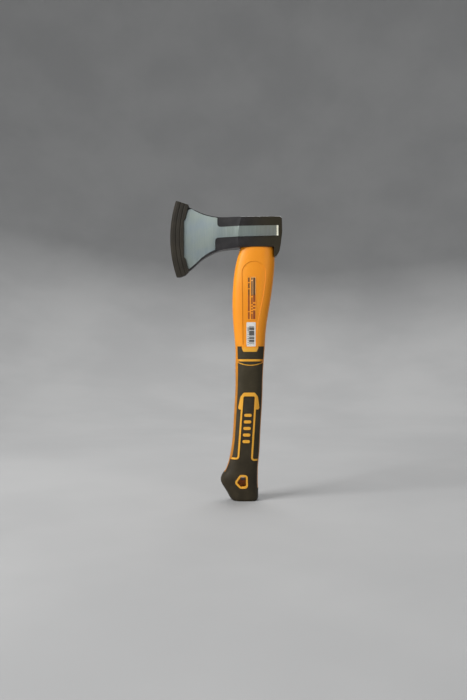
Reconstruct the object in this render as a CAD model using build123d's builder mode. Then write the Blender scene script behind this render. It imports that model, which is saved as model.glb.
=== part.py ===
"""Short felling axe: a forged steel head on a fibreglass handle, with a rubber guard over the cutting edge.

Frame: millimetres, +Z up the handle from the butt, -X towards the cutting edge, Y through the thickness.
The origin is the centre of the flat butt face. The axe is symmetrical front to back about the XZ plane,
apart from the two labels and the deeper mouth of the hang hole, which are on the front (-Y) side.
"""

import os
from math import copysign, cos, pi, sin, sqrt

from build123d import *

# ---------------------------------------------------------------- driving dimensions

# Head. The cheeks are a body of revolution about an axis along Y, so the cutting edge is one arc.
EDGE_CENTRE_X = 62.3
EDGE_CENTRE_Z = 332.0
EDGE_X = -91.0
EDGE_RADIUS = EDGE_CENTRE_X - EDGE_X
TOE_RISE = 44.3
HEEL_DROP = 47.5
CHEEK_HALF = 13.0
# Half thickness of the blade at stations from the cutting edge back to the cheeks.
EDGE_HALF = 0.2
BEVEL_X, BEVEL_HALF = -79.0, 2.3
BLADE_HALVES = ((-55.0, 4.4), (-31.0, 8.1), (-12.3, 12.0))
CHEEK_X = -8.6
POLL_X = 46.8
HEAD_TOP_Z = 357.5
HEAD_BOTTOM_Z = 319.2
LUG_X = 36.6
LACQUER_STEP = 0.7
HEAD_EDGE_ROUND = 1.6
# How far behind the crease a cheek edge must reach to count as part of the outline.
CREASE_REACH = 6.0
TOUCHING = 0.01

# Head seen from the side, from the toe along its top, round the poll and lug, and back to the heel.
BROW = ((-67.0, 368.6), (-51.8, 361.6), (-36.5, 357.7), (-20.0, 356.8))
BROW_TANGENTS = ((1, -0.4), (1, 0.01))
POLL_OUTLINE = (
    (POLL_X - 0.4, HEAD_TOP_Z),
    (POLL_X + 0.1, 338.0),
    (44.9, 321.6),
    (43.4, 313.8),
    (40.6, 308.9),
    (LUG_X, 306.4),
    (LUG_X, HEAD_BOTTOM_Z),
    (30.0, HEAD_BOTTOM_Z),
)
POLL_ROUNDS = (3.6, 20.0, 12.0, 3.0, 3.0, 0.8, 1.5)
NECK_UNDERSIDE = ((12.0, HEAD_BOTTOM_Z + 0.1), (-8.0, 318.4), (-28.9, 315.8))
NECK_TANGENTS = ((-1, 0.01), (-1, -0.2))
BEARD = ((-44.1, 309.9), (-56.8, 301.4), (-69.5, 290.0), (-76.6, 286.2))
HEEL_TANGENT = (-1.0, -0.2)

# Eye through the head, narrow at its middle so that the bonded tenon can't pull out.
EYE_X = 16.0
EYE_BOTTOM_Z, EYE_WAIST_Z = 316.0, 337.0
EYE_SIZES = ((34.0, 16.4), (31.0, 15.0), (35.0, 18.5))
EYE_TOP_Z = HEAD_TOP_Z + 1.4
RESIN_BOTTOM_Z, RESIN_TOP_Z = 323.0, 354.8
RIB_END_X, RIB_BEVEL = 39.8, 2.6

# Lacquer bands: blade-side end, edge along the bright rib there and at the poll, corner radius.
UPPER_BAND = (-34.6, 344.6, 346.4)
LOWER_BAND = (-37.3, 331.0, 333.6)
BAND_ROUND = 4.0

# Handle form at stations up the handle: height, blade-side edge, poll-side edge, thickness.
HANDLE_STATIONS = (
    (0.0, -14.6, 14.6, 25.6),
    (1.6, -17.0, 16.2, 28.0),
    (6.0, -20.0, 16.6, 29.0),
    (13.0, -23.9, 16.7, 29.4),
    (20.5, -28.7, 16.6, 29.5),
    (26.5, -30.2, 16.5, 29.4),
    (35.0, -26.5, 16.6, 29.0),
    (45.0, -21.6, 17.0, 28.2),
    (57.0, -18.7, 18.2, 27.4),
    (76.0, -15.8, 19.3, 26.6),
    (101.0, -14.1, 20.6, 26.0),
    (127.0, -12.6, 22.1, 25.6),
    (152.0, -11.8, 22.8, 25.2),
    (177.0, -11.8, 24.2, 25.0),
    (200.0, -12.6, 25.7, 25.0),
    (224.0, -14.7, 27.9, 25.2),
    (248.0, -15.7, 31.9, 25.4),
    (272.0, -14.8, 35.4, 25.2),
    (292.0, -12.4, 37.4, 24.4),
    (308.0, -8.8, 37.8, 23.6),
    (325.0, -3.8, 36.0, 22.6),
)
SECTION_POWER = 2.7
SECTION_POINTS = 12

# Fibreglass core: a straight pultruded oval rod that leans with the handle.
CORE_SIZE = (21.0, 10.6)
CORE_BOTTOM = (-1.0, 42.0)
CORE_TOP = (16.4, 355.4)

# Rubber pads moulded into pockets in the jacket.
POCKET_DEPTH = 2.0
PAD_PROUD = 0.3
RIB_PROUD = 0.9
SIDE_STRIP_HALF = 4.0
BLADE_STRIP, BOOT_STRIP = 3.0, 0.8
POLL_STRIP = 1.2
BOOT_FLOOR = 3.0
# Sloping line of the boot's rim: its ends as (x, z), carried on level past the poll side.
BOOT_RIM = ((-60.0, 51.0), (-26.0, 36.0), (16.6, 15.0), (60.0, -4.0))

# Ribs that frame the palm panel.
RIB_WIDTH = 2.3
FRAME_BOTTOM_Z = (53.7, 51.8)
FRAME_TOP_Z = 133.8
FRAME_FOOT_X = (-8.3, 8.7)
FRAME_HEAD_X = (-2.7, 13.8)
FRAME_ROUND = 3.2
BOW_OUTLINE = ((-8.9, 115.0), (-5.6, 131.0), (-1.4, 136.2), (12.6, 136.2), (16.4, 131.0), (18.6, 115.0))
BOW_ROUND = 2.4
WINDOW_Z = (60.0, 132.9)
PIP_SIZE = (9.4, 3.8)
PIP_COUNT = 5
PIP_PITCH = 8.2
PIP_BOTTOM_Z = 75.0

# Collar pad, its rib and the lens-shaped insert under it.
COLLAR_TOP_Z, COLLAR_BOTTOM_Z = 194.0, 178.2
NOTCH_Z = 187.3
NOTCH_TOP_X, NOTCH_BOTTOM_X = (-4.1, 17.0), (-2.2, 14.7)
NOTCH_WAIST_Z = 192.0
NOTCH_ROUND = 1.5
LENS_TOP_Z, LENS_LOW_Z = 175.2, 171.2
LENS_SPAN_X = (-8.0, 21.6)
LENS_MIDDLE_X = 6.6
LENS_END_Z = 174.4
GRIP_TOP_LOW_Z, GRIP_TOP_END_Z = 169.9, 173.4

# Hang hole: a five-sided mouth on each face, deep on the front, with a smaller passage between them.
HOLE_MOUTH = ((-4.9, 31.2), (1.2, 30.8), (1.4, 18.7), (-4.9, 18.6), (-10.1, 23.8))
HOLE_ROUND = 1.6
HOLE_RIM = 2.4
FRONT_FLOOR, BACK_FLOOR = 6.5, 13.2
PASSAGE_SIZE, PASSAGE_CENTRE = (5.2, 4.8), (-2.4, 28.2)
PASSAGE_ROUND = 0.6

# Recessed label panel and the two labels in it.
PANEL_DEPTH = 0.5
PANEL_BOTTOM_Z = 196.5
PANEL_FOOT_X = (-2.4, 14.6)
PANEL_CROWN = ((-3.6, 284.0), (12.0, 301.0), (26.4, 286.0))
PANEL_FLANK = ((21.6, 250.0), (16.4, 222.0))
LABEL_BED = 0.7
LABEL_SURFACE = 0.3
BARCODE_SIZE, BARCODE_CENTRE = (11.4, 30.4), (7.7, 209.2)
INFO_SIZE, INFO_CENTRE = (11.6, 56.0), (8.9, 254.6)
LABEL_ROUND = 0.8

# Edge guard: a rubber channel over the cutting edge.
GUARD_RADIUS = 157.0
GUARD_NOSE_RADIUS = 154.2
GUARD_REAR_RADIUS = 131.0
GUARD_HALVES = (5.9, 4.3)
NOSE_BULGE = (1.1, 2.7)
GUARD_GAP = 0.3
GUARD_GROOVE_RADII = (144.4, 149.6)
GROOVE_HALF, GROOVE_DEPTH = 0.4, 0.35
GUARD_OUTLINE = (
    (-99.0, 382.6),
    (-70.8, 373.0),
    (-71.6, 370.0),
    (-75.2, 355.6),
    (-77.2, 353.2),
    (-77.2, 307.4),
    (-74.8, 305.0),
    (-72.0, 293.8),
    (-69.6, 290.4),
    (-75.6, 284.2),
    (-82.0, 281.8),
    (-99.0, 281.6),
)
GUARD_ROUNDS = (0, 1.2, 3.0, 3.0, 1.0, 1.0, 3.0, 2.0, 1.6, 5.0, 8.0, 0)

# Length that reaches past the part from its middle on any side.
FAR = 60.0
FRONT, BACK = -1, 1

os.makedirs("parts", exist_ok=True)


# ---------------------------------------------------------------- shared forms

HEAD_AXIS = Axis((EDGE_CENTRE_X, 0, EDGE_CENTRE_Z), (0, 1, 0))
# Sketch plane whose x runs from the edge arc's centre out to the cutting edge, and whose y is +Y.
RADIAL_PLANE = Plane(
    origin=(EDGE_CENTRE_X, 0, EDGE_CENTRE_Z), x_dir=(-1, 0, 0), z_dir=(0, 0, -1)
)


def radial(x):
    """Distance from the edge arc's centre of a station x on the head's centreline."""
    return EDGE_CENTRE_X - x


def cheek_disc(grow=0.0):
    """Whole disc whose faces are the head's cheeks and blade faces, grown by grow on every side."""
    with BuildPart() as disc:
        with BuildSketch(RADIAL_PLANE):
            with BuildLine():
                bevel = Polyline(
                    (0, 0),
                    (radial(EDGE_X) + grow, 0),
                    (radial(EDGE_X) + grow, max(EDGE_HALF + grow, EDGE_HALF / 2)),
                    (radial(BEVEL_X), BEVEL_HALF + grow),
                )
                blade = Spline(
                    bevel @ 1,
                    *[(radial(x), half + grow) for x, half in BLADE_HALVES],
                )
                Polyline(
                    blade @ 1,
                    (radial(CHEEK_X), CHEEK_HALF + grow),
                    (0, CHEEK_HALF + grow),
                    (0, 0),
                )
            make_face()
        revolve(axis=HEAD_AXIS)
        mirror(about=Plane.XZ)
    return disc.part


def oval(centre_x, centre_y, length, width):
    """One closed curve, between an ellipse and a rectangle, in the current line builder."""
    points = []
    for i in range(SECTION_POINTS):
        turn = 2 * pi * i / SECTION_POINTS
        across = copysign(abs(cos(turn)) ** (2 / SECTION_POWER), cos(turn))
        through = copysign(abs(sin(turn)) ** (2 / SECTION_POWER), sin(turn))
        points.append((centre_x + length / 2 * across, centre_y + width / 2 * through))
    return Spline(*points, periodic=True)


def handle_form(grow=0.0):
    """The handle's whole outer form, grown by grow on its sides (shrunk where it is negative)."""
    with BuildPart() as form:
        for height, blade_side, poll_side, thickness in HANDLE_STATIONS:
            with BuildSketch(Plane.XY.offset(height)):
                with BuildLine():
                    oval(
                        (blade_side + poll_side) / 2,
                        0,
                        poll_side - blade_side + 2 * grow,
                        thickness + 2 * grow,
                    )
                make_face()
        loft()
    return form.part


def between_edges(z):
    """Blade-side and poll-side edges of the handle at height z."""
    for low, high in zip(HANDLE_STATIONS, HANDLE_STATIONS[1:]):
        if low[0] <= z <= high[0]:
            share = (z - low[0]) / (high[0] - low[0])
            return tuple(low[i] + share * (high[i] - low[i]) for i in (1, 2))
    raise ValueError(f"no handle at {z}")


def side_points(side, inset, bottom_z, top_z):
    """Points up a pad's blade-side (0) or poll-side (1) edge, inset from the handle's own edge."""
    heights = [bottom_z]
    heights += [row[0] for row in HANDLE_STATIONS if bottom_z < row[0] < top_z]
    heights.append(top_z)
    return [(between_edges(z)[side] + inset, z) for z in heights]


# ---------------------------------------------------------------- outlines, seen from the front

FRONT_PLANE = Plane.XZ


def frame_x(side, z):
    """Centreline of the frame's blade-side (0) or poll-side (1) rib at height z."""
    share = (z - FRAME_BOTTOM_Z[0]) / (FRAME_TOP_Z - FRAME_BOTTOM_Z[0])
    return FRAME_FOOT_X[side] + share * (FRAME_HEAD_X[side] - FRAME_FOOT_X[side])


def frame_sketch():
    """Thin ribs round the palm panel, with a bow and two wings at their top."""
    inner = RIB_WIDTH / 2
    low_z, high_z = WINDOW_Z
    with BuildSketch(FRONT_PLANE) as frame:
        with BuildLine():
            FilletPolyline(*BOW_OUTLINE, radius=BOW_ROUND, close=True)
        make_face()
        with BuildLine():
            Polyline(
                (frame_x(0, low_z) + inner, low_z),
                (frame_x(0, high_z) + inner, high_z),
                (frame_x(1, high_z) - inner, high_z),
                (frame_x(1, low_z) - inner, low_z),
                close=True,
            )
        make_face(mode=Mode.SUBTRACT)
        with BuildLine():
            FilletPolyline(
                (-FAR, FRAME_BOTTOM_Z[0]),
                (FRAME_FOOT_X[0], FRAME_BOTTOM_Z[0]),
                (FRAME_HEAD_X[0], FRAME_TOP_Z - inner),
                (FRAME_HEAD_X[1], FRAME_TOP_Z - inner),
                (FRAME_FOOT_X[1], FRAME_BOTTOM_Z[1]),
                (FAR, FRAME_BOTTOM_Z[1]),
                radius=FRAME_ROUND,
            )
        trace(line_width=RIB_WIDTH)
    return frame.sketch


def hole_outline(grow):
    """The hang hole's five-sided mouth, grown by grow."""
    with BuildSketch(FRONT_PLANE) as mouth:
        with BuildLine():
            FilletPolyline(*HOLE_MOUTH, radius=HOLE_ROUND, close=True)
        make_face()
        if grow:
            offset(amount=grow, kind=Kind.ARC)
    return mouth.sketch


def pips_sketch():
    """Row of short raised bars on the palm panel."""
    middles = []
    for i in range(PIP_COUNT):
        z = PIP_BOTTOM_Z + i * PIP_PITCH
        middles.append(((frame_x(0, z) + frame_x(1, z)) / 2, z))
    with BuildSketch(FRONT_PLANE) as pips:
        with Locations(*middles):
            SlotOverall(*PIP_SIZE)
    return pips.sketch


def grip_zone():
    """Area of all the rubber below the lens, before the ribs are taken out of it."""
    foot_z = FRAME_BOTTOM_Z[0]
    boot_side = side_points(0, BOOT_STRIP, 0.0, foot_z)
    grip_side = side_points(0, BLADE_STRIP, foot_z, GRIP_TOP_END_Z)
    poll_side = side_points(1, -POLL_STRIP, 0.0, GRIP_TOP_END_Z)
    middle = (LENS_MIDDLE_X, GRIP_TOP_LOW_Z)
    with BuildSketch(FRONT_PLANE) as zone:
        with BuildLine():
            Line(boot_side[0], poll_side[0])
            Spline(*poll_side)
            ThreePointArc(poll_side[-1], middle, grip_side[-1])
            Spline(*reversed(grip_side))
            Line(grip_side[0], boot_side[-1])
            Spline(*reversed(boot_side))
        make_face()
    return zone.sketch


def rubber_sketch():
    """The grip pad and the palm panel with the boot's face, as separate faces."""
    with BuildSketch(FRONT_PLANE) as rubber:
        add(grip_zone())
        add(frame_sketch(), mode=Mode.SUBTRACT)
        add(hole_outline(HOLE_RIM), mode=Mode.SUBTRACT)
        add(pips_sketch(), mode=Mode.SUBTRACT)
    return rubber.sketch


def rib_sketch():
    """Everything yellow that stands up to the rubber's level inside the grip zone."""
    with BuildSketch(FRONT_PLANE) as ribs:
        add(grip_zone())
        add(rubber_sketch(), mode=Mode.SUBTRACT)
    return ribs.sketch


def collar_sketch():
    """U-shaped collar pad with a notch for the jacket's tab."""
    blade_side = side_points(0, BLADE_STRIP, COLLAR_BOTTOM_Z, COLLAR_TOP_Z)
    poll_side = side_points(1, -POLL_STRIP, COLLAR_BOTTOM_Z, COLLAR_TOP_Z)
    with BuildSketch(FRONT_PLANE) as collar:
        with BuildLine():
            Polyline(*blade_side, *reversed(poll_side), close=True)
        make_face()
        with BuildLine():
            FilletPolyline(
                (NOTCH_TOP_X[0], COLLAR_TOP_Z + FAR),
                (NOTCH_TOP_X[0], NOTCH_WAIST_Z),
                (NOTCH_BOTTOM_X[0], NOTCH_Z),
                (NOTCH_BOTTOM_X[1], NOTCH_Z),
                (NOTCH_TOP_X[1], NOTCH_WAIST_Z),
                (NOTCH_TOP_X[1], COLLAR_TOP_Z + FAR),
                radius=NOTCH_ROUND,
                close=True,
            )
        make_face(mode=Mode.SUBTRACT)
    return collar.sketch


def lens_sketch():
    """Thin lens between the collar's rib and the top of the grip."""
    left, right = LENS_SPAN_X
    with BuildSketch(FRONT_PLANE) as lens:
        with BuildLine():
            top = Polyline(
                (left, LENS_END_Z), (left, LENS_TOP_Z), (right, LENS_TOP_Z), (right, LENS_END_Z)
            )
            ThreePointArc(top @ 1, (LENS_MIDDLE_X, LENS_LOW_Z), top @ 0)
        make_face()
    return lens.sketch


def panel_sketch():
    """Label panel: a tall arch that narrows down to the collar's notch."""
    with BuildSketch(FRONT_PLANE) as panel:
        with BuildLine():
            crown = ThreePointArc(*PANEL_CROWN)
            poll_side = Spline(crown @ 1, *PANEL_FLANK, (PANEL_FOOT_X[1], PANEL_BOTTOM_Z))
            blade_side = Line((PANEL_FOOT_X[0], PANEL_BOTTOM_Z), crown @ 0)
            Line(poll_side @ 1, blade_side @ 0)
        make_face()
    return panel.sketch


def label_sketch(size, centre):
    """Rounded rectangle for a label."""
    with BuildSketch(FRONT_PLANE) as label:
        with Locations(centre):
            RectangleRounded(*size, LABEL_ROUND)
    return label.sketch


def boot_side_sketch():
    """Everything below the sloping line where the boot's rim wraps round both sides."""
    with BuildSketch(FRONT_PLANE) as low:
        with BuildLine():
            Polyline(*BOOT_RIM, (FAR, -FAR), (-FAR, -FAR), close=True)
        make_face()
    return low.sketch


# ---------------------------------------------------------------- handle forms reused by its parts

FORM = handle_form()
PAD_FORM = handle_form(PAD_PROUD)
RIB_FORM = handle_form(RIB_PROUD)
POCKET_FORM = split(handle_form(-POCKET_DEPTH), Plane.XY.offset(BOOT_FLOOR), Keep.TOP)
PANEL_FORM = handle_form(-PANEL_DEPTH)
LABEL_BED_FORM = handle_form(-LABEL_BED)
LABEL_FORM = handle_form(-LABEL_SURFACE)


def prism(sketch, side, start=SIDE_STRIP_HALF):
    """A front-plane sketch carried outwards on one side, from start off the mid plane."""
    with BuildPart() as block:
        extrude(sketch.moved(Location((0, side * start, 0))), amount=FAR, dir=(0, side, 0))
    return block.part


def through(sketch):
    """A front-plane sketch carried right through the axe."""
    with BuildPart() as block:
        extrude(sketch, amount=FAR, dir=(0, 1, 0), both=True)
    return block.part


def finish(part, name):
    """Labels a finished piece and writes it to its own file."""
    part.label = name
    export_step(part, f"parts/{name}.step")


# ---------------------------------------------------------------- axe head


def head_side_sketch():
    """Side view of the whole forging, with the lug that hangs behind the handle."""
    toe = (EDGE_CENTRE_X - sqrt(EDGE_RADIUS**2 - TOE_RISE**2), EDGE_CENTRE_Z + TOE_RISE)
    heel = (EDGE_CENTRE_X - sqrt(EDGE_RADIUS**2 - HEEL_DROP**2), EDGE_CENTRE_Z - HEEL_DROP)
    with BuildSketch(FRONT_PLANE) as side:
        with BuildLine():
            ThreePointArc(heel, (EDGE_X, EDGE_CENTRE_Z), toe)
            brow = Spline(toe, *BROW, tangents=BROW_TANGENTS)
            poll = FilletPolyline(brow @ 1, *POLL_OUTLINE, radius=POLL_ROUNDS)
            neck = Spline(poll @ 1, *NECK_UNDERSIDE, tangents=NECK_TANGENTS)
            Spline(neck @ 1, *BEARD, heel, tangents=(neck % 1, HEEL_TANGENT))
        make_face()
    return side.sketch


def lacquer_sketch():
    """Lower ground of the cheeks that keeps its lacquer: bands above and below the bright rib."""
    with BuildSketch(FRONT_PLANE) as bands:
        for (end_x, end_z, poll_z), away in ((UPPER_BAND, FAR), (LOWER_BAND, -FAR)):
            with BuildLine():
                FilletPolyline(
                    (end_x, end_z + away),
                    (end_x, end_z),
                    (FAR, poll_z),
                    (FAR, poll_z + away),
                    radius=(0, BAND_ROUND, 0, 0),
                    close=True,
                )
            make_face()
    return bands.sketch


def on_cheek(edge):
    """True for an edge that lies in one of the flat cheeks."""
    box = edge.bounding_box()
    return abs(abs(box.min.Y) - CHEEK_HALF) < TOUCHING and box.max.Y - box.min.Y < TOUCHING


def outer_edge(edge):
    """True for a cheek edge on the forging's outline, not on the crease ahead of the cheek."""
    return on_cheek(edge) and edge.bounding_box().max.X > CHEEK_X + CREASE_REACH


with BuildPart() as head_blank:
    add(through(head_side_sketch()))
    add(cheek_disc(), mode=Mode.INTERSECT)
    fillet(head_blank.edges().filter_by(outer_edge), HEAD_EDGE_ROUND)

with BuildPart() as lacquer_ground:
    add(through(lacquer_sketch()))
    add(cheek_disc(-LACQUER_STEP), mode=Mode.SUBTRACT)

# The bright rib ends in a long bevel just short of the poll.
with BuildPart() as rib_end:
    with BuildSketch(Plane.XY.offset(EYE_BOTTOM_Z)):
        with BuildLine():
            Polyline(
                (RIB_END_X, CHEEK_HALF),
                (RIB_END_X + RIB_BEVEL, CHEEK_HALF - LACQUER_STEP),
                (FAR, CHEEK_HALF - LACQUER_STEP),
                (FAR, FAR),
                (RIB_END_X, FAR),
                close=True,
            )
        make_face()
    extrude(amount=FAR)
    mirror(about=Plane.XZ)

with BuildPart() as eye:
    for height, size in zip((EYE_BOTTOM_Z, EYE_WAIST_Z, EYE_TOP_Z), EYE_SIZES):
        with BuildSketch(Plane.XY.offset(height)):
            with BuildLine():
                oval(EYE_X, 0, *size)
            make_face()
    loft()

with BuildPart() as axe_head:
    add(head_blank.part)
    add(lacquer_ground.part, mode=Mode.SUBTRACT)
    add(rib_end.part, mode=Mode.SUBTRACT)
    add(eye.part, mode=Mode.SUBTRACT)
finish(axe_head.part, "axe_head")

# ---------------------------------------------------------------- core and resin

with BuildPart() as fibreglass_core:
    for x, z in (CORE_BOTTOM, CORE_TOP):
        with BuildSketch(Plane.XY.offset(z)):
            with Locations((x, 0)):
                Ellipse(CORE_SIZE[0] / 2, CORE_SIZE[1] / 2)
    loft()
finish(fibreglass_core.part, "fibreglass_core")

# Resin fills the eye from just above the head's underside to just below its top.
with BuildPart() as eye_resin:
    add(eye.part)
    with BuildSketch(Plane.XY.offset(RESIN_BOTTOM_Z)):
        Rectangle(2 * FAR, 2 * FAR)
    extrude(amount=RESIN_TOP_Z - RESIN_BOTTOM_Z, mode=Mode.INTERSECT)
    add(fibreglass_core.part, mode=Mode.SUBTRACT)
finish(eye_resin.part, "eye_resin")

# ---------------------------------------------------------------- rubber pads


def pocket(sketch, side):
    """Pocket in the handle's surface on one side, down to the pocket form."""
    with BuildPart() as cut:
        add(prism(sketch, side))
        add(POCKET_FORM, mode=Mode.SUBTRACT)
    return cut.part


def pad(cut):
    """Rubber that fills a pocket and stands a little proud of it."""
    with BuildPart() as rubber:
        add(cut)
        add(PAD_FORM, mode=Mode.INTERSECT)
    return rubber.part


palm_face, grip_face = rubber_sketch().faces().sort_by(Axis.Z)
pockets = []
for outline, pad_name in (
    (collar_sketch(), "collar"),
    (lens_sketch(), "lens"),
    (grip_face, "grip"),
):
    front_pocket = pocket(outline, FRONT)
    front_pad = pad(front_pocket)
    pockets += [front_pocket, mirror(front_pocket, Plane.XZ)]
    finish(front_pad, f"{pad_name}_front")
    finish(mirror(front_pad, Plane.XZ), f"{pad_name}_back")

with BuildPart() as boot_pocket:
    add(prism(palm_face, FRONT))
    add(prism(palm_face, BACK))
    add(through(boot_side_sketch()))
    add(through(hole_outline(HOLE_RIM)), mode=Mode.SUBTRACT)
    add(POCKET_FORM, mode=Mode.SUBTRACT)
pockets.append(boot_pocket.part)
butt_boot = pad(boot_pocket.part)
finish(butt_boot, "butt_boot")


# ---------------------------------------------------------------- labels


def label_pocket(size, centre):
    """Bed of a label in the floor of the label panel."""
    with BuildPart() as bed:
        add(prism(label_sketch(size, centre), FRONT))
        add(LABEL_BED_FORM, mode=Mode.SUBTRACT)
    return bed.part


for size, centre, label_name in (
    (BARCODE_SIZE, BARCODE_CENTRE, "barcode_label"),
    (INFO_SIZE, INFO_CENTRE, "info_label"),
):
    bed = label_pocket(size, centre)
    pockets.append(bed)
    with BuildPart() as label:
        add(bed)
        add(LABEL_FORM, mode=Mode.INTERSECT)
    finish(label.part, label_name)

# ---------------------------------------------------------------- handle jacket

with BuildPart() as panel_ground:
    add(prism(panel_sketch(), FRONT))
    add(prism(panel_sketch(), BACK))
    add(PANEL_FORM, mode=Mode.SUBTRACT)

with BuildPart() as rib_stock:
    add(prism(rib_sketch(), FRONT))
    add(prism(rib_sketch(), BACK))
    add(RIB_FORM, mode=Mode.INTERSECT)

with BuildPart() as hang_hole:
    add(prism(hole_outline(0), FRONT, FRONT_FLOOR))
    add(prism(hole_outline(0), BACK, BACK_FLOOR))
    with BuildSketch(FRONT_PLANE):
        with Locations(PASSAGE_CENTRE):
            RectangleRounded(*PASSAGE_SIZE, PASSAGE_ROUND)
    extrude(amount=FAR, both=True)

with BuildPart() as handle_jacket:
    add(FORM)
    add(rib_stock.part)
    add(panel_ground.part, mode=Mode.SUBTRACT)
    add([*pockets, hang_hole.part, head_blank.part, fibreglass_core.part], mode=Mode.SUBTRACT)
finish(handle_jacket.part, "handle_jacket")

# ---------------------------------------------------------------- edge guard


def guard_half_profile():
    """Half section of the guard along a radius, with two grooves that run round it."""
    outer = [(GUARD_REAR_RADIUS, GUARD_HALVES[0])]
    for radius in GUARD_GROOVE_RADII:
        share = (radius - GUARD_REAR_RADIUS) / (GUARD_NOSE_RADIUS - GUARD_REAR_RADIUS)
        half = GUARD_HALVES[0] + share * (GUARD_HALVES[1] - GUARD_HALVES[0])
        outer.append((radius - GROOVE_HALF - GROOVE_DEPTH, half))
        outer.append((radius - GROOVE_HALF, half - GROOVE_DEPTH))
        outer.append((radius + GROOVE_HALF, half - GROOVE_DEPTH))
        outer.append((radius + GROOVE_HALF + GROOVE_DEPTH, half))
    outer.append((GUARD_NOSE_RADIUS, GUARD_HALVES[1]))
    return outer


with BuildPart() as guard_disc:
    with BuildSketch(RADIAL_PLANE):
        with BuildLine():
            flank = Polyline((0, 0), (0, GUARD_HALVES[0]), *guard_half_profile())
            ThreePointArc(flank @ 1, (GUARD_RADIUS - NOSE_BULGE[0], NOSE_BULGE[1]), (GUARD_RADIUS, 0))
            Line((GUARD_RADIUS, 0), (0, 0))
        make_face()
    revolve(axis=HEAD_AXIS)
    mirror(about=Plane.XZ)

with BuildPart() as guard_blank:
    with BuildSketch(FRONT_PLANE):
        with BuildLine():
            FilletPolyline(*GUARD_OUTLINE, radius=GUARD_ROUNDS, close=True)
        make_face()
    extrude(amount=FAR, both=True)
    add(guard_disc.part, mode=Mode.INTERSECT)

# The channel is open at the back, and as tall as the edge all the way, so the guard pulls straight off.
CHANNEL_Z = (EDGE_CENTRE_Z - HEEL_DROP - GUARD_GAP, EDGE_CENTRE_Z + TOE_RISE + GUARD_GAP)
with BuildPart() as channel:
    with BuildSketch(FRONT_PLANE):
        with BuildLine():
            Polyline(
                (-2 * FAR, CHANNEL_Z[0]),
                (0, CHANNEL_Z[0]),
                (0, CHANNEL_Z[1]),
                (-2 * FAR, CHANNEL_Z[1]),
                close=True,
            )
        make_face()
    extrude(amount=FAR, both=True)
    add(cheek_disc(GUARD_GAP), mode=Mode.INTERSECT)

with BuildPart() as edge_guard:
    add(guard_blank.part)
    add(channel.part, mode=Mode.SUBTRACT)
finish(edge_guard.part, "edge_guard")
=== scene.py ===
"""Looks of the short felling axe: materials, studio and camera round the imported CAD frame. Metres, +Z up."""

import math

import bpy
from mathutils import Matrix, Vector


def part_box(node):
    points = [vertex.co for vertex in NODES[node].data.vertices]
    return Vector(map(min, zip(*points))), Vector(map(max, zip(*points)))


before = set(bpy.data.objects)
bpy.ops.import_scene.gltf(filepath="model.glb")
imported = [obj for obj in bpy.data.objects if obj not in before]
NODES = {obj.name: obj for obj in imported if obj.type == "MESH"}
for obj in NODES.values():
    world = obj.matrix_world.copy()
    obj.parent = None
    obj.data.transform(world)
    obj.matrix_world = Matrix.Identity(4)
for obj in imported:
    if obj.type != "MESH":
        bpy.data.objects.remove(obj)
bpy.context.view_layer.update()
SCENE = bpy.context.scene

# ---------------------------------------------------------------- camera

CAMERA_DISTANCE = 0.92
CAMERA_X, CAMERA_Z = -0.0143, 0.1896
VIEW_HEIGHT = 0.889
SENSOR_MM = 36.0


def make_camera():
    """Level camera in front of the axe, at about half its height."""
    data = bpy.data.cameras.new("camera")
    data.sensor_width = SENSOR_MM
    data.lens = SENSOR_MM * CAMERA_DISTANCE / VIEW_HEIGHT
    camera = bpy.data.objects.new("camera", data)
    camera.location = (CAMERA_X, -CAMERA_DISTANCE, CAMERA_Z)
    camera.rotation_euler = (math.pi / 2, 0, 0)
    SCENE.collection.objects.link(camera)
    SCENE.camera = camera


make_camera()

# ---------------------------------------------------------------- shader helper

BEVEL_SAMPLES = 4
# Half width of the step at a printed or lacquered edge.
EDGE_BLUR = 0.00012


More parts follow.
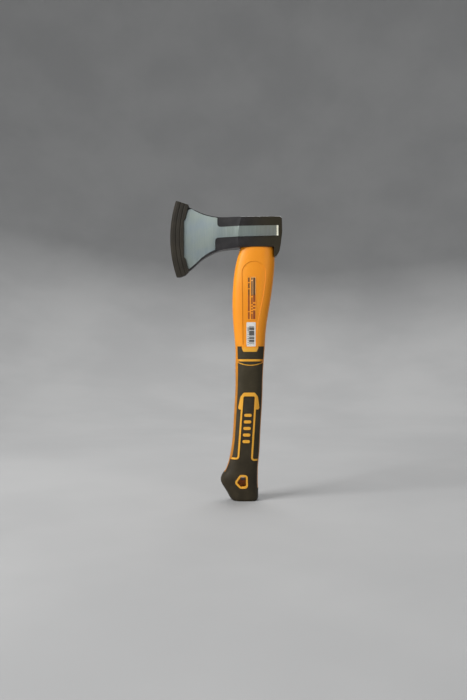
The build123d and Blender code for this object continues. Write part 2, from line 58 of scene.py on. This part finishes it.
class Shader:
    """Builds one node material. Every method takes sockets or plain numbers and returns a socket."""

    def __init__(self, name):
        self.material = bpy.data.materials.new(name)
        self.material.use_nodes = True
        self.tree = self.material.node_tree
        self.tree.nodes.clear()
        self.surface = self.tree.nodes.new("ShaderNodeBsdfPrincipled")
        output = self.tree.nodes.new("ShaderNodeOutputMaterial")
        self.tree.links.new(self.surface.outputs["BSDF"], output.inputs["Surface"])
        self.coords = self.tree.nodes.new("ShaderNodeTexCoord")
        self.place = self.coords.outputs["Object"]

    def feed(self, socket, value):
        """Links a socket, or sets it to a plain value."""
        if isinstance(value, bpy.types.NodeSocket):
            self.tree.links.new(value, socket)
        else:
            socket.default_value = value

    def set(self, **values):
        """Sets the surface's sockets, with underscores for spaces in their names."""
        for name, value in values.items():
            self.feed(self.surface.inputs[name.replace("_", " ")], value)

    def math(self, operation, a, b=0.0, c=0.0):
        node = self.tree.nodes.new("ShaderNodeMath")
        node.operation = operation
        for socket, value in zip(node.inputs, (a, b, c)):
            self.feed(socket, value)
        return node.outputs[0]

    def split(self, vector):
        node = self.tree.nodes.new("ShaderNodeSeparateXYZ")
        self.feed(node.inputs[0], vector)
        return node.outputs

    def stretched(self, x, y, z):
        """Object coordinates scaled along each axis."""
        node = self.tree.nodes.new("ShaderNodeMapping")
        self.feed(node.inputs["Vector"], self.place)
        node.inputs["Scale"].default_value = (x, y, z)
        return node.outputs[0]

    def noise(self, size, detail=2.0, roughness=0.5, vector=None):
        """Noise in 0 to 1 with features about size metres across."""
        node = self.tree.nodes.new("ShaderNodeTexNoise")
        self.feed(node.inputs["Vector"], self.place if vector is None else vector)
        node.inputs["Scale"].default_value = 1 / size
        node.inputs["Detail"].default_value = detail
        node.inputs["Roughness"].default_value = roughness
        return node.outputs["Fac"]

    def cells(self, size):
        """Distance to the nearest of scattered points about size metres apart."""
        node = self.tree.nodes.new("ShaderNodeTexVoronoi")
        self.feed(node.inputs["Vector"], self.place)
        node.inputs["Scale"].default_value = 1 / size
        return node.outputs["Distance"]

    def ramp(self, value, low, high, start=0.0, end=1.0, smooth=True):
        """Value mapped from low..high to start..end, and held outside it."""
        node = self.tree.nodes.new("ShaderNodeMapRange")
        node.interpolation_type = "SMOOTHSTEP" if smooth else "LINEAR"
        for name, number in zip(("From Min", "From Max", "To Min", "To Max"), (low, high, start, end)):
            self.feed(node.inputs[name], number)
        self.feed(node.inputs["Value"], value)
        return node.outputs[0]

    def mix(self, factor, a, b):
        """Colour a where factor is 0, and b where it is 1."""
        node = self.tree.nodes.new("ShaderNodeMix")
        node.data_type = "RGBA"
        self.feed(node.inputs[0], factor)
        self.feed(node.inputs[6], (*a, 1) if isinstance(a, tuple) else a)
        self.feed(node.inputs[7], (*b, 1) if isinstance(b, tuple) else b)
        return node.outputs[2]

    def soft_edges(self, radius):
        """Normal that rounds every sharp edge over radius metres."""
        node = self.tree.nodes.new("ShaderNodeBevel")
        node.samples = BEVEL_SAMPLES
        node.inputs["Radius"].default_value = radius
        return node.outputs[0]

    def bump(self, height, distance, normal):
        """Normal for a height of 0 to 1 that is distance metres deep, laid over another normal."""
        node = self.tree.nodes.new("ShaderNodeBump")
        node.inputs["Distance"].default_value = distance
        self.feed(node.inputs["Height"], height)
        self.feed(node.inputs["Normal"], normal)
        return node.outputs[0]

    def chance(self, value, seed):
        """Steady random number in 0 to 1 for each whole value."""
        node = self.tree.nodes.new("ShaderNodeTexWhiteNoise")
        node.noise_dimensions = "1D"
        self.feed(node.inputs["W"], self.math("ADD", value, seed))
        return node.outputs["Value"]

    def length(self, across, along):
        """Length of a line that runs this far across and this far along."""
        squares = self.math("ADD", self.math("POWER", across, 2), self.math("POWER", along, 2))
        return self.math("SQRT", squares)

    def distance(self, x, z, middle_x, middle_z):
        """Distance from a point, seen from the front."""
        return self.length(self.math("SUBTRACT", x, middle_x), self.math("SUBTRACT", z, middle_z))

    def any(self, *masks):
        """The greatest of some masks."""
        total = masks[0]
        for mask in masks[1:]:
            total = self.math("MAXIMUM", total, mask)
        return total

    def all(self, *masks):
        """The product of some masks."""
        total = masks[0]
        for mask in masks[1:]:
            total = self.math("MULTIPLY", total, mask)
        return total


def dress(material, *names):
    """Gives CAD nodes a finished material, and shades them smoothly."""
    for name in names:
        node = NODES[name]
        for slot in node.material_slots:
            slot.material = material
        for polygon in node.data.polygons:
            polygon.use_smooth = True


def strip(s, across, low, high, blur=EDGE_BLUR):
    """1 between low and high, and 0 outside them."""
    return s.math(
        "MULTIPLY",
        s.ramp(across, low - blur, low + blur),
        s.ramp(across, high - blur, high + blur, 1, 0),
    )


# ---------------------------------------------------------------- head: ground steel and lacquer

# The bright rib's edges: where the lacquer bands start, and how they slope towards the poll.
RIB_TOP = {"x": -0.0346, "z": 0.3446, "slope": 0.0190}
RIB_BOTTOM = {"x": -0.0373, "z": 0.3310, "slope": 0.0267}
BAND_CORNER = 0.0040
RIB_END_X, RIB_BEVEL = 0.0418, 0.0020
# The cutting edge is an arc about this centre, and the bevel is ground outside GRIND_RADIUS.
EDGE_CENTRE_X, EDGE_CENTRE_Z = 0.0623, 0.3320
GRIND_RADIUS = 0.1413
# Lacquered border along the top and bottom of the blade.
BORDER_X = (-0.0800, -0.0200)
BORDER_STEPS = 16
BORDER_REACH = 0.0006
BORDER_TOP, BORDER_BOTTOM = 0.0012, 0.0032
BORDER_BLUR = 0.0002
# Spans along x where the steel or the lacquer changes tone.
NECK_X = (-0.046, -0.028)
CREASE_X = (-0.0095, -0.0075)
FAR_RIB_X = (0.005, 0.030)
# Span where the head's top corners carry a painted highlight of bare steel.
HIGHLIGHT_CORNER_X = (-0.012, -0.004)
WARM_LACQUER_X = (-0.010, 0.035)
STEEL_METALLIC = 0.85


def head_outline(pick):
    """Heights of the head's top (pick=max) or bottom (pick=min) outline at even steps along the blade."""
    low, high = BORDER_X
    points = [vertex.co for vertex in NODES["axe_head"].data.vertices]
    heights = []
    for i in range(BORDER_STEPS):
        x = low + (high - low) / (BORDER_STEPS - 1) * i
        heights.append(pick(point.z for point in points if abs(point.x - x) < BORDER_REACH))
    return heights


def outline_height(s, x, heights):
    """The outline's height at x, read off a smooth curve through the sampled heights."""
    low, high = min(heights), max(heights)
    node = s.tree.nodes.new("ShaderNodeFloatCurve")
    curve = node.mapping.curves[0]
    last = len(heights) - 1
    for i, height in enumerate(heights):
        place, value = i / last, (height - low) / (high - low)
        if i in (0, last):
            curve.points[0 if i == 0 else -1].location = (place, value)
        else:
            curve.points.new(place, value)
    node.mapping.update()
    s.feed(node.inputs["Value"], s.ramp(x, *BORDER_X, smooth=False))
    return s.math("MULTIPLY_ADD", node.outputs[0], high - low, low)


def band_mask(s, x, z, line, side, ragged):
    """1 inside a lacquer band that starts at a rounded corner; side is 1 above the line and -1 below."""
    line_z = s.math("MULTIPLY_ADD", x, line["slope"], line["z"] - line["slope"] * line["x"])
    beyond = s.math("MULTIPLY", s.math("SUBTRACT", z, line_z), side)
    across = s.math("MAXIMUM", s.math("SUBTRACT", line["x"] + BAND_CORNER, x), 0)
    along = s.math("MAXIMUM", s.math("SUBTRACT", BAND_CORNER, beyond), 0)
    reach = s.math("ADD", s.length(across, along), ragged)
    return s.ramp(reach, BAND_CORNER - EDGE_BLUR, BAND_CORNER + EDGE_BLUR, 1, 0)


def lacquer_masks(s, x, z, normal, facing):
    """Where lacquer covers the steel, and where it is taken off the upward-facing top corners of the head: a
    painted highlight of bright bare steel along the top edge.
    """
    ragged = s.ramp(s.noise(0.0016, 3), 0.3, 0.7, -0.00014, 0.00014)
    upper = band_mask(s, x, z, RIB_TOP, 1, ragged)
    lower = band_mask(s, x, z, RIB_BOTTOM, -1, ragged)
    poll = s.ramp(x, RIB_END_X, RIB_END_X + 0.0006)
    top_gap = s.math("SUBTRACT", outline_height(s, x, head_outline(max)), z)
    bottom_gap = s.math("SUBTRACT", z, outline_height(s, x, head_outline(min)))
    border = s.any(
        *(
            s.ramp(s.math("ADD", gap, ragged), width - BORDER_BLUR, width + BORDER_BLUR, 1, 0)
            for gap, width in ((top_gap, BORDER_TOP), (bottom_gap, BORDER_BOTTOM))
        )
    )
    sides = s.ramp(facing, 0.35, 0.6, 1, 0)
    # Painted highlight: bare, bright steel on the upward-facing top corners, in ragged patches, standing in
    # for light caught along the head's top edge.
    corner = s.all(
        strip(s, facing, 0.20, 0.93, 0.06), s.ramp(normal[2], 0.30, 0.50), s.ramp(x, *HIGHLIGHT_CORNER_X)
    )
    rubbed_highlight = s.math("MULTIPLY", corner, s.ramp(s.noise(0.0035, 4, 0.65), 0.36, 0.52))
    lacquer = s.math("MULTIPLY", s.any(upper, lower, poll, border, sides), s.math("SUBTRACT", 1, rubbed_highlight))
    return lacquer, rubbed_highlight


def steel_colour(s, x, lines, polished):
    """Cloudy steel, darker at the neck and warmer along the far rib, with a painted highlight on the bevel at
    its end.
    """
    cloud = s.noise(0.026, 3, 0.55)
    steel = s.mix(s.ramp(cloud, 0.35, 0.68), (0.285, 0.335, 0.312), (0.262, 0.318, 0.340))
    neck = s.all(s.ramp(x, *NECK_X), s.ramp(x, *CREASE_X, 1, 0.35))
    steel = s.mix(s.math("MULTIPLY", neck, 0.45), steel, (0.120, 0.142, 0.125))
    steel = s.mix(s.ramp(x, *FAR_RIB_X, 0, 0.28), steel, (0.300, 0.240, 0.120))
    steel = s.mix(s.ramp(lines, 0.35, 0.75, 0, 0.35), steel, (0.37, 0.405, 0.395))
    # Painted highlight: the bevel at the rib's end is made bright and warm to stand in for a glint.
    steel = s.mix(strip(s, x, RIB_END_X - RIB_BEVEL, RIB_END_X), steel, (0.74, 0.72, 0.58))
    return s.mix(polished, steel, (0.62, 0.63, 0.62))


def lacquer_colour(s, x, facing):
    """Black lacquer that turns warmer towards the poll, with small chips away from the flat cheeks."""
    chips = s.ramp(s.noise(0.0013, 4, 0.7), 0.70, 0.76)
    black = s.mix(s.ramp(s.noise(0.012, 3), 0.35, 0.7), (0.013, 0.012, 0.013), (0.024, 0.022, 0.023))
    black = s.mix(s.ramp(x, *WARM_LACQUER_X, 0, 0.8), black, (0.026, 0.020, 0.007))
    return s.mix(s.all(chips, s.ramp(facing, 0.5, 0.85, 1, 0)), black, (0.16, 0.16, 0.155))


def head_material():
    """Brushed steel inside a lacquered border, two lacquer bands beside the rib, and lacquered edges."""
    s = Shader("ground_steel_and_lacquer")
    x, _, z = s.split(s.place)
    normal = s.split(s.coords.outputs["Normal"])
    facing = s.math("ABSOLUTE", normal[1])
    lacquer, rubbed_highlight = lacquer_masks(s, x, z, normal, facing)
    radius = s.distance(x, z, EDGE_CENTRE_X, EDGE_CENTRE_Z)
    grind = s.ramp(radius, GRIND_RADIUS - 0.0002, GRIND_RADIUS + 0.0006)
    lines = s.noise(0.0009, 4, 0.6, s.stretched(1.0, 1.0, 0.035))
    fine_lines = s.noise(0.00022, 2, 0.6, s.stretched(1.0, 1.0, 0.02))
    # The polished steel covers the ground bevel and the painted highlight on the top corners.
    steel = steel_colour(s, x, lines, s.any(grind, rubbed_highlight))
    s.set(Base_Color=s.mix(lacquer, steel, lacquer_colour(s, x, facing)))
    s.set(Metallic=s.math("MULTIPLY_ADD", lacquer, -STEEL_METALLIC, STEEL_METALLIC))
    steel_rough = s.ramp(lines, 0.3, 0.8, 0.30, 0.40)
    steel_rough = s.math("SUBTRACT", steel_rough, s.math("MULTIPLY", grind, 0.12))
    lacquer_rough = s.ramp(s.noise(0.004, 3), 0.3, 0.7, 0.34, 0.46)
    rough_mix = s.math("SUBTRACT", lacquer_rough, steel_rough)
    s.set(Roughness=s.math("MULTIPLY_ADD", rough_mix, lacquer, steel_rough))
    bare = s.math("SUBTRACT", 1, lacquer)
    grain = s.bump(s.math("MULTIPLY", fine_lines, bare), 0.000012, s.soft_edges(0.0004))
    peel = s.bump(s.math("MULTIPLY", s.noise(0.0011, 2), lacquer), 0.000035, grain)
    s.set(Normal=peel, Specular_IOR_Level=0.28)
    return s.material


dress(head_material(), "axe_head")

# ---------------------------------------------------------------- rubber


def rubber_material(name, dark, light, grain, depth, roughness):
    """Matt moulded rubber: fine pebbled grain, and a slight bloom of dust and handling."""
    s = Shader(name)
    pebble = s.cells(grain)
    bloom = s.noise(0.018, 4, 0.6)
    speck = s.noise(0.0007, 3, 0.7)
    tone = s.mix(s.ramp(bloom, 0.35, 0.7), dark, light)
    scuffed = tuple(1.5 * value for value in light)
    s.set(Base_Color=s.mix(s.ramp(speck, 0.62, 0.78, 0, 0.4), tone, scuffed))
    s.set(Roughness=s.ramp(bloom, 0.3, 0.7, roughness - 0.06, roughness + 0.08))
    s.set(Normal=s.bump(speck, depth / 3, s.bump(pebble, depth, s.soft_edges(0.0005))))
    s.set(Specular_IOR_Level=0.24)
    return s.material


# Name, dark and light tone, grain size and depth, roughness, and the nodes made of it.
for *recipe, names in (
    (
        "grip_rubber", (0.037, 0.029, 0.014), (0.056, 0.044, 0.024), 0.0008, 0.00007, 0.60,
        ("grip_front", "grip_back", "collar_front", "collar_back", "lens_front", "lens_back"),
    ),
    ("boot_rubber", (0.027, 0.020, 0.010), (0.043, 0.033, 0.018), 0.0008, 0.00006, 0.58, ("butt_boot",)),
    ("guard_rubber", (0.016, 0.013, 0.008), (0.027, 0.022, 0.014), 0.0006, 0.00004, 0.56, ("edge_guard",)),
):
    dress(rubber_material(*recipe), *names)

# ---------------------------------------------------------------- jacket, core and resin

HOLE_MIDDLE_X, HOLE_MIDDLE_Z, HOLE_REACH = -0.0040, 0.0250, 0.0090
GRIP_TOP_Z = 0.1945
# Heights over which the grip's side strip carries painted shade.
SIDE_SHADE_Z = (0.140, 0.2245)
# Spans of the distance off the mid plane: up to the raised ribs, out of the side strips,
# and up to the hole's mouth.
RIB_Y = (0.0085, 0.0110)
STRIP_Y = (0.0094, 0.0112)
MOUTH_Y = (0.0095, 0.0135)


def jacket_material():
    """Satin moulded polypropylene with a fine spark texture, faint flow marks and small scuffs; painted shade
    on the grip's side strip and inside the hang hole, and a painted highlight on the raised rib lines.
    """
    s = Shader("orange_jacket")
    x, y, z = s.split(s.place)
    off_middle = s.math("ABSOLUTE", y)
    flow = s.noise(0.030, 3, 0.5, s.stretched(1.0, 1.0, 0.35))
    spark = s.noise(0.00045, 3, 0.6)
    scuff = s.ramp(s.noise(0.0016, 5, 0.75, s.stretched(1.0, 1.0, 0.3)), 0.68, 0.78)
    tone = s.mix(s.ramp(flow, 0.3, 0.7), (0.860, 0.280, 0.007), (0.920, 0.322, 0.010))
    # Painted highlight: the raised rib lines on the grip are made yellower and brighter than the rest of the
    # jacket.
    rib_highlight = s.all(s.ramp(z, GRIP_TOP_Z - 0.004, GRIP_TOP_Z, 1, 0), s.ramp(off_middle, *RIB_Y))
    # Painted shade: the side of the grip near the mid plane is darkened in patches towards dark amber where it
    # turns away from the light.
    side_strip_shade = s.all(s.ramp(z, *SIDE_SHADE_Z, 1, 0), s.ramp(off_middle, *STRIP_Y, 1, 0))
    tone = s.mix(s.math("MULTIPLY", rib_highlight, 0.80), tone, (0.840, 0.440, 0.048))
    patchy_shade = s.ramp(s.noise(0.009, 4, 0.65), 0.25, 0.65, 0.48, 0.72)
    tone = s.mix(s.math("MULTIPLY", side_strip_shade, patchy_shade), tone, (0.29, 0.125, 0.014))
    # Painted shade: the walls inside the hang hole's mouth are darkened to a deep red-brown.
    from_hole = s.distance(x, z, HOLE_MIDDLE_X, HOLE_MIDDLE_Z)
    deep = s.all(s.ramp(from_hole, HOLE_REACH, HOLE_REACH + 0.001, 1, 0), s.ramp(off_middle, *MOUTH_Y, 1, 0))
    tone = s.mix(s.math("MULTIPLY", deep, 0.65), tone, (0.15, 0.030, 0.002))
    s.set(Base_Color=s.mix(s.math("MULTIPLY", scuff, 0.25), tone, (0.98, 0.50, 0.12)))
    s.set(Roughness=s.ramp(s.math("ADD", flow, s.math("MULTIPLY", scuff, 0.3)), 0.3, 0.9, 0.38, 0.54))
    s.set(Normal=s.bump(spark, 0.000018, s.soft_edges(0.0006)))
    s.set(Specular_IOR_Level=0.35)
    s.set(Subsurface_Weight=0.06, Subsurface_Radius=(0.004, 0.002, 0.0008), Subsurface_Scale=0.4)
    return s.material


def core_material():
    """Sawn end of the pultruded rod: pale resin with the ends of glass bundles."""
    s = Shader("fibreglass_end")
    bundles = s.cells(0.0009)
    s.set(Base_Color=s.mix(s.ramp(bundles, 0.1, 0.6), (0.62, 0.52, 0.30), (0.34, 0.26, 0.11)))
    s.set(Roughness=s.ramp(bundles, 0.1, 0.6, 0.55, 0.8))
    s.set(Normal=s.bump(bundles, 0.00006, s.soft_edges(0.0003)))
    return s.material


def resin_material():
    """Cast epoxy with a slightly rippled, glossy surface."""
    s = Shader("eye_resin")
    ripple = s.noise(0.005, 3)
    s.set(Base_Color=s.mix(ripple, (0.016, 0.015, 0.014), (0.034, 0.031, 0.028)))
    s.set(Roughness=s.ramp(s.noise(0.0015, 3), 0.3, 0.7, 0.18, 0.36))
    s.set(Normal=s.bump(ripple, 0.0003, s.soft_edges(0.0003)))
    return s.material


dress(jacket_material(), "handle_jacket")
dress(core_material(), "fibreglass_core")
dress(resin_material(), "eye_resin")

# ---------------------------------------------------------------- labels

THIN_BAR_SEED, WIDE_BAR_SEED, MARK_SEED, ROW_SEED = 11, 5, 3, 7
# Spans as shares of a label's width or length, from its low corner.
BARCODE_ALONG, BARS_ACROSS, MARKS_ACROSS = (0.08, 0.84), (0.28, 0.86), (0.11, 0.24)
INFO_ALONG, HALO_ALONG, HALO_ACROSS = (0.03, 0.96), (0.58, 0.97), (0.38, 0.90)
INK_CHANGE = (0.56, 0.57)
# Rows of print: the span across, the pitch of the cells, and the share of them that is filled.
INFO_ROWS = (
    ((0.08, 0.24), 0.00130, 0.84),
    ((0.42, 0.56), 0.00170, 0.76),
    ((0.62, 0.86), 0.00210, 0.80),
)


def cell_marks(s, along, pitch, seed, fill):
    """1 on a random share of even cells along a line."""
    cell = s.math("FLOOR", s.math("DIVIDE", along, pitch))
    return s.math("LESS_THAN", s.chance(cell, seed), fill)


def label_frame(s, name):
    """Distances from the label's low x and low z corner, and its size."""
    low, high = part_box(name)
    x, _, z = s.split(s.place)
    return s.math("SUBTRACT", x, low[0]), s.math("SUBTRACT", z, low[2]), high[0] - low[0], high[2] - low[2]


def share_strip(s, place, size, shares):
    """1 between two shares of a label's size, and 0 outside them."""
    return strip(s, place, shares[0] * size, shares[1] * size)


def barcode_material():
    """White label with plain bars of several widths and a line of grey marks beside them."""
    s = Shader("barcode_print")
    across, along, width, length = label_frame(s, "barcode_label")
    bars = s.all(
        s.any(
            cell_marks(s, along, 0.00062, THIN_BAR_SEED, 0.58),
            cell_marks(s, along, 0.00240, WIDE_BAR_SEED, 0.45),
        ),
        share_strip(s, across, width, BARS_ACROSS),
        share_strip(s, along, length, BARCODE_ALONG),
    )
    marks = s.all(
        cell_marks(s, along, 0.00110, MARK_SEED, 0.62),
        share_strip(s, across, width, MARKS_ACROSS),
        share_strip(s, along, length, BARCODE_ALONG),
    )
    ink = s.math("MULTIPLY", s.any(bars, s.math("MULTIPLY", marks, 0.85)), 0.93)
    paper = s.mix(s.ramp(s.noise(0.004, 3), 0.3, 0.7), (0.72, 0.71, 0.68), (0.79, 0.78, 0.75))
    s.set(Base_Color=s.mix(ink, paper, (0.045, 0.042, 0.040)))
    s.set(Roughness=s.ramp(s.noise(0.003, 3), 0.3, 0.7, 0.34, 0.46))
    s.set(Normal=s.bump(s.noise(0.0009, 2), 0.000012, s.soft_edges(0.0001)))
    return s.material


def info_material():
    """Orange film printed with rows of plain marks, like lines of print too small to read."""
    s = Shader("info_print")
    across, along, width, length = label_frame(s, "info_label")
    upper = s.ramp(along, *(share * length for share in INK_CHANGE))
    rows = []
    for i, (shares, pitch, fill) in enumerate(INFO_ROWS):
        row = share_strip(s, across, width, shares)
        rows.append(s.all(cell_marks(s, along, pitch, ROW_SEED + i, fill), row))
    print_mask = s.all(s.any(*rows), share_strip(s, along, length, INFO_ALONG))
    halo = s.all(
        share_strip(s, across, width, HALO_ACROSS), share_strip(s, along, length, HALO_ALONG), upper
    )
    ground = s.mix(s.ramp(s.noise(0.010, 3), 0.3, 0.7), (0.840, 0.275, 0.010), (0.900, 0.320, 0.014))
    ground = s.mix(s.math("MULTIPLY", halo, 0.55), ground, (0.85, 0.55, 0.26))
    ink = s.mix(upper, (0.200, 0.030, 0.010), (0.030, 0.016, 0.010))
    s.set(Base_Color=s.mix(s.math("MULTIPLY", print_mask, 0.92), ground, ink))
    s.set(Roughness=s.ramp(s.noise(0.003, 3), 0.3, 0.7, 0.30, 0.42))
    s.set(Normal=s.bump(s.noise(0.0009, 2), 0.000012, s.soft_edges(0.0001)))
    return s.material


dress(barcode_material(), "barcode_label")
dress(info_material(), "info_label")

# ---------------------------------------------------------------- studio

FLOOR_RADIUS, SWEEP_RADIUS, WALL_TOP = 0.9, 2.0, 3.0
SWEEP_STEPS, SWEEP_SIDES = 20, 96
FILL_COLOUR, FILL_STRENGTH = (0.90, 0.93, 0.96, 1), 0.32
MIDDLE, POLL = (0.0, 0.0, 0.20), (0.04, 0.0, 0.34)
# Name, place, target, size and power.
LIGHTS = (
    ("key", (-1.37, -0.86, 1.25), MIDDLE, (0.9, 0.8), 35),
    ("card", (-0.55, -1.75, 1.10), MIDDLE, (1.2, 0.8), 4.0),
    ("glint", (0.75, -1.28, 0.55), POLL, (0.12, 0.4), 1.6),
    ("back", (0.20, 1.30, 1.50), MIDDLE, (2.0, 1.4), 22),
)


def make_sweep():
    """Round floor that curves up into a wall all the way round."""
    profile = []
    for i in range(SWEEP_STEPS + 1):
        turn = math.pi / 2 * i / SWEEP_STEPS
        profile.append((FLOOR_RADIUS + SWEEP_RADIUS * math.sin(turn), SWEEP_RADIUS * (1 - math.cos(turn))))
    profile.append((FLOOR_RADIUS + SWEEP_RADIUS, WALL_TOP))
    points = []
    for radius, z in profile:
        for i in range(SWEEP_SIDES):
            turn = 2 * math.pi * i / SWEEP_SIDES
            points.append((radius * math.cos(turn), radius * math.sin(turn), z))
    faces = [tuple(range(SWEEP_SIDES))]
    for ring in range(len(profile) - 1):
        for i in range(SWEEP_SIDES):
            j = (i + 1) % SWEEP_SIDES
            low, high = ring * SWEEP_SIDES, (ring + 1) * SWEEP_SIDES
            faces.append((low + i, high + i, high + j, low + j))
    mesh = bpy.data.meshes.new("sweep")
    mesh.from_pydata(points, [], faces)
    for polygon in mesh.polygons:
        polygon.use_smooth = True
    sweep = bpy.data.objects.new("sweep", mesh)
    SCENE.collection.objects.link(sweep)
    s = Shader("backdrop")
    mottle = s.noise(0.35, 4, 0.55)
    s.set(Base_Color=s.mix(s.ramp(mottle, 0.3, 0.7), (0.37, 0.37, 0.37), (0.42, 0.42, 0.418)))
    s.set(Roughness=s.ramp(mottle, 0.3, 0.7, 0.7, 0.85))
    mesh.materials.append(s.material)


def area_light(name, place, target, size, power):
    """Soft box at place that faces target."""
    data = bpy.data.lights.new(name, "AREA")
    data.shape = "RECTANGLE"
    data.size, data.size_y = size
    data.energy = power
    light = bpy.data.objects.new(name, data)
    light.location = place
    aim = Vector(target) - Vector(place)
    light.rotation_euler = aim.to_track_quat("-Z", "Y").to_euler()
    light.visible_camera = False
    SCENE.collection.objects.link(light)


def make_world():
    """Even, slightly cool fill from all round."""
    world = bpy.data.worlds.new("studio")
    world.use_nodes = True
    background = world.node_tree.nodes["Background"]
    background.inputs["Color"].default_value = FILL_COLOUR
    background.inputs["Strength"].default_value = FILL_STRENGTH
    SCENE.world = world


make_sweep()
make_world()
for light in LIGHTS:
    area_light(*light)
SCENE.view_settings.view_transform = "Standard"
